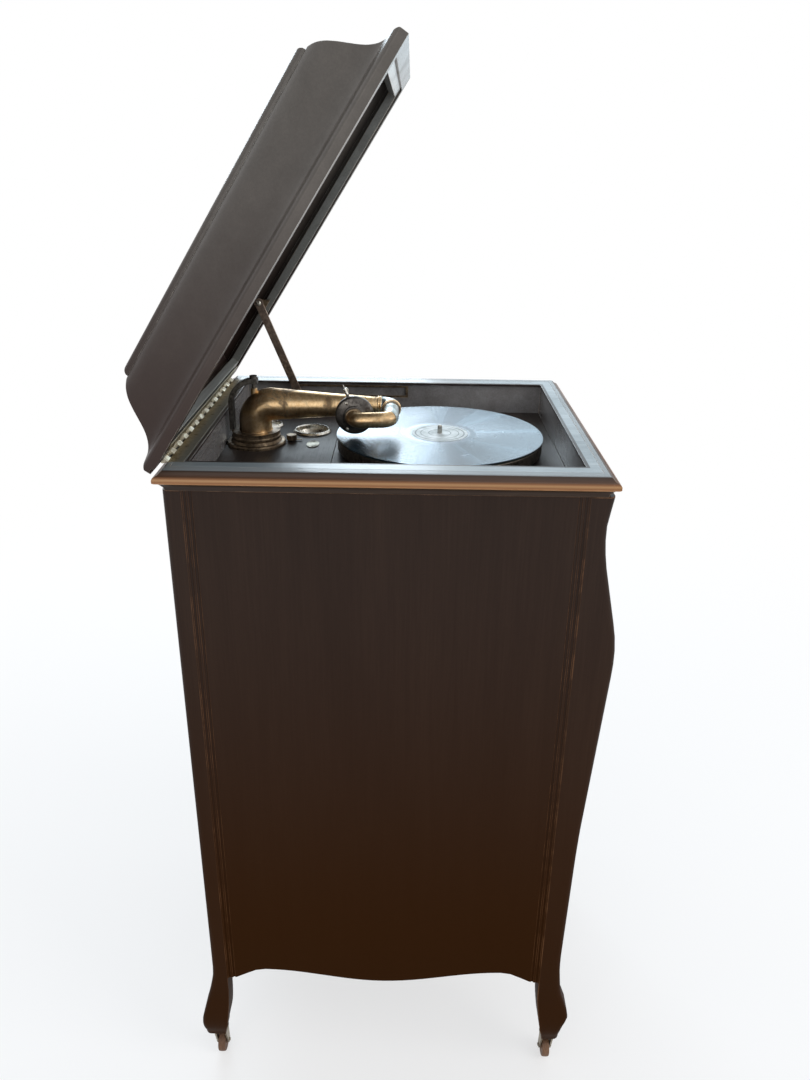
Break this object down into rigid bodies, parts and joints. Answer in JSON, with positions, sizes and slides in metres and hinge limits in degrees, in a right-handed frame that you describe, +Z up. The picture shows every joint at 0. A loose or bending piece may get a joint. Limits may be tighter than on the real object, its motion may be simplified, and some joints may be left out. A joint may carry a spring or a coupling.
{
  "type": "cabinet gramophone",
  "caption": "Floor-standing wooden cabinet gramophone with a hinged lid, turntable, tonearm with folding gooseneck, internal horn, crank and casters.",
  "frame": {"origin": "on the floor, under the middle of the box that holds the whole machine with its lid open", "axes": "+Z up, front of the cabinet towards -Y, winding crank on the +X side"},
  "size_m": [0.6376, 0.6222, 1.5023],
  "materials": {
    "mahogany": "dark red-brown stained and polished wood",
    "mahogany_inside": "dark stained wood, matt",
    "moulding_wood": "brown polished wood with light worn edges",
    "rim_gloss": "near-black polished veneer",
    "motor_board_wood": "dark polished wood",
    "old_gold": "aged gold-plated brass with dark patina",
    "bronze_iron": "dark bronzed casting",
    "sound_box_metal": "dark patinated metal",
    "mica": "thin mica disc",
    "nickel": "worn nickel",
    "hinge_brass": "worn brass and nickel",
    "motor_iron": "grey-green enamelled casting",
    "gear_steel": "machined steel with oil",
    "gear_brass": "cut brass",
    "shellac": "glossy black shellac with fine grooves",
    "felt": "dark green felt",
    "grip_wood": "black-stained turned wood",
    "horn_wood": "brown varnished wood",
    "horn_iron": "black japanned casting",
    "caster_metal": "dull plated steel",
    "caster_wood": "worn hardwood wheel"
  },
  "bodies": {
    "cabinet": {"front_posts": "mahogany", "rear_posts": "mahogany", "side_panels": "mahogany", "back_panel": "mahogany_inside", "front_frame": "mahogany", "top_moulding": "moulding_wood", "rim_plate": "rim_gloss", "well_lining": "mahogany_inside", "motor_board": "motor_board_wood", "arm_board": "motor_board_wood", "cabinet_boards": "mahogany_inside", "record_rack": "mahogany_inside", "horn_flare": "horn_wood", "horn_throat": "horn_iron", "horn_slats": "mahogany", "tonearm_base": "bronze_iron", "arm_bracket": "bronze_iron", "needle_cups": "nickel", "motor_frame": "motor_iron", "crank_escutcheon": "nickel", "door_hinges": "hinge_brass", "lid_hinge_fixed": "hinge_brass", "stay_track": "bronze_iron", "caster_sockets": "caster_metal", "speed_dial": "nickel"},
    "lid": {"lid": "mahogany", "lid_frame": "mahogany_inside", "lid_hinge_leaf": "hinge_brass"},
    "stay": {"lid_stay": "bronze_iron"},
    "door_upper_left": {"upper_door_left": "mahogany"},
    "door_upper_right": {"upper_door_right": "mahogany"},
    "door_lower_left": {"lower_door_left": "mahogany"},
    "door_lower_right": {"lower_door_right": "mahogany"},
    "barrel": {"spring_barrel": "gear_steel"},
    "arbor": {"winding_wheel": "gear_brass"},
    "idler": {"idler_gears": "gear_steel"},
    "governor": {"governor": "gear_brass"},
    "crank": {"winding_shaft": "gear_steel", "crank": "nickel"},
    "grip": {"crank_grip": "grip_wood"},
    "brake": {"brake_lever": "nickel"},
    "regulator": {"speed_knob": "bronze_iron"},
    "turntable": {"platter": "nickel", "felt": "felt", "spindle": "nickel", "record": "shellac"},
    "tonearm": {"tonearm": "old_gold"},
    "neck": {"gooseneck": "old_gold", "sound_box": "sound_box_metal", "diaphragm": "mica", "needle_bar": "nickel"},
    "needle_screw": {"needle_screw": "nickel"},
    "caster_1": {"caster_fork_1": "caster_metal"},
    "wheel_1": {"caster_wheel_1": "caster_wood"},
    "caster_2": {"caster_fork_2": "caster_metal"},
    "wheel_2": {"caster_wheel_2": "caster_wood"},
    "caster_3": {"caster_fork_3": "caster_metal"},
    "wheel_3": {"caster_wheel_3": "caster_wood"},
    "caster_4": {"caster_fork_4": "caster_metal"},
    "wheel_4": {"caster_wheel_4": "caster_wood"}
  },
  "joints": [
    {"name": "lid_hinge", "type": "hinge", "parent": "cabinet", "child": "lid", "pos_m": [-0.05724, 0.26827, 1.0406], "axis": [1, 0, 0], "range_deg": [0, 57]},
    {"name": "stay_pivot", "type": "hinge", "parent": "lid", "child": "stay", "pos_m": [0.14876, 0.21173, 1.16758], "axis": [1, 0, 0], "range_deg": [-115, 0]},
    {"name": "upper_left_door", "type": "hinge", "parent": "cabinet", "child": "door_upper_left", "pos_m": [-0.25644, -0.27393, 0.72], "axis": [0, 0, -1], "range_deg": [0, 90]},
    {"name": "upper_right_door", "type": "hinge", "parent": "cabinet", "child": "door_upper_right", "pos_m": [0.14196, -0.27393, 0.72], "axis": [0, 0, 1], "range_deg": [0, 90]},
    {"name": "lower_left_door", "type": "hinge", "parent": "cabinet", "child": "door_lower_left", "pos_m": [-0.25644, -0.27393, 0.38], "axis": [0, 0, -1], "range_deg": [0, 90]},
    {"name": "lower_right_door", "type": "hinge", "parent": "cabinet", "child": "door_lower_right", "pos_m": [0.14196, -0.27393, 0.38], "axis": [0, 0, 1], "range_deg": [0, 90]},
    {"name": "turntable_spin", "type": "hinge", "parent": "cabinet", "child": "turntable", "pos_m": [-0.05724, -0.07973, 1.01], "axis": [0, 0, 1], "continuous": true},
    {"name": "idler_spin", "type": "hinge", "parent": "cabinet", "child": "idler", "pos_m": [-0.07752, -0.03623, 0.93], "axis": [0, 0, 1], "continuous": true},
    {"name": "barrel_spin", "type": "hinge", "parent": "cabinet", "child": "barrel", "pos_m": [-0.00987, -0.0116, 0.88], "axis": [0, 0, 1], "continuous": true},
    {"name": "governor_spin", "type": "hinge", "parent": "cabinet", "child": "governor", "pos_m": [-0.08073, -0.08828, 0.88], "axis": [0, 0, 1], "continuous": true},
    {"name": "crank_turn", "type": "hinge", "parent": "cabinet", "child": "crank", "pos_m": [0.20476, -0.0116, 0.942], "axis": [1, 0, 0], "continuous": true},
    {"name": "arbor_turn", "type": "hinge", "parent": "cabinet", "child": "arbor", "pos_m": [-0.00987, -0.0116, 0.958], "axis": [0, 0, 1], "continuous": true},
    {"name": "grip_spin", "type": "hinge", "parent": "crank", "child": "grip", "pos_m": [0.26476, -0.0116, 0.817], "axis": [1, 0, 0], "continuous": true},
    {"name": "brake_swing", "type": "hinge", "parent": "cabinet", "child": "brake", "pos_m": [0.0542, 0.03235, 0.992], "axis": [0, 0, 1], "range_deg": [0, 15]},
    {"name": "regulator_turn", "type": "hinge", "parent": "cabinet", "child": "regulator", "pos_m": [-0.01924, 0.14327, 0.992], "axis": [0, 0, 1], "range_deg": [-60, 60]},
    {"name": "tonearm_swing", "type": "hinge", "parent": "cabinet", "child": "tonearm", "pos_m": [-0.03224, 0.19427, 1.05], "axis": [0, 0, 1], "range_deg": [-4, 32]},
    {"name": "neck_flip", "type": "hinge", "parent": "tonearm", "child": "neck", "pos_m": [-0.05724, -0.00873, 1.05], "axis": [1, 0, 0], "range_deg": [0, 174]},
    {"name": "needle_screw_turn", "type": "hinge", "parent": "neck", "child": "needle_screw", "pos_m": [-0.06474, 0.05666, 1.08016], "axis": [1, 0, 0], "range_deg": [0, 360]},
    {"name": "caster_1_swivel", "type": "hinge", "parent": "cabinet", "child": "caster_1", "pos_m": [-0.29424, -0.27973, 0.06], "axis": [0, 0, 1], "continuous": true},
    {"name": "wheel_1_roll", "type": "hinge", "parent": "caster_1", "child": "wheel_1", "pos_m": [-0.28624, -0.27973, 0.018], "axis": [0, 1, 0], "continuous": true},
    {"name": "caster_2_swivel", "type": "hinge", "parent": "cabinet", "child": "caster_2", "pos_m": [0.17976, -0.27973, 0.06], "axis": [0, 0, 1], "continuous": true},
    {"name": "wheel_2_roll", "type": "hinge", "parent": "caster_2", "child": "wheel_2", "pos_m": [0.18776, -0.27973, 0.018], "axis": [0, 1, 0], "continuous": true},
    {"name": "caster_3_swivel", "type": "hinge", "parent": "cabinet", "child": "caster_3", "pos_m": [-0.29424, 0.26227, 0.06], "axis": [0, 0, 1], "continuous": true},
    {"name": "wheel_3_roll", "type": "hinge", "parent": "caster_3", "child": "wheel_3", "pos_m": [-0.28624, 0.26227, 0.018], "axis": [0, 1, 0], "continuous": true},
    {"name": "caster_4_swivel", "type": "hinge", "parent": "cabinet", "child": "caster_4", "pos_m": [0.17976, 0.26227, 0.06], "axis": [0, 0, 1], "continuous": true},
    {"name": "wheel_4_roll", "type": "hinge", "parent": "caster_4", "child": "wheel_4", "pos_m": [0.18776, 0.26227, 0.018], "axis": [0, 1, 0], "continuous": true}
  ],
  "couplings": [
    {"joint": "stay_pivot", "follows": "lid_hinge", "ratio": -1.938},
    {"joint": "idler_spin", "follows": "turntable_spin", "ratio": -0.28},
    {"joint": "barrel_spin", "follows": "turntable_spin", "ratio": 0.056},
    {"joint": "governor_spin", "follows": "turntable_spin", "ratio": -4},
    {"joint": "arbor_turn", "follows": "crank_turn", "ratio": -0.3}
  ]
}
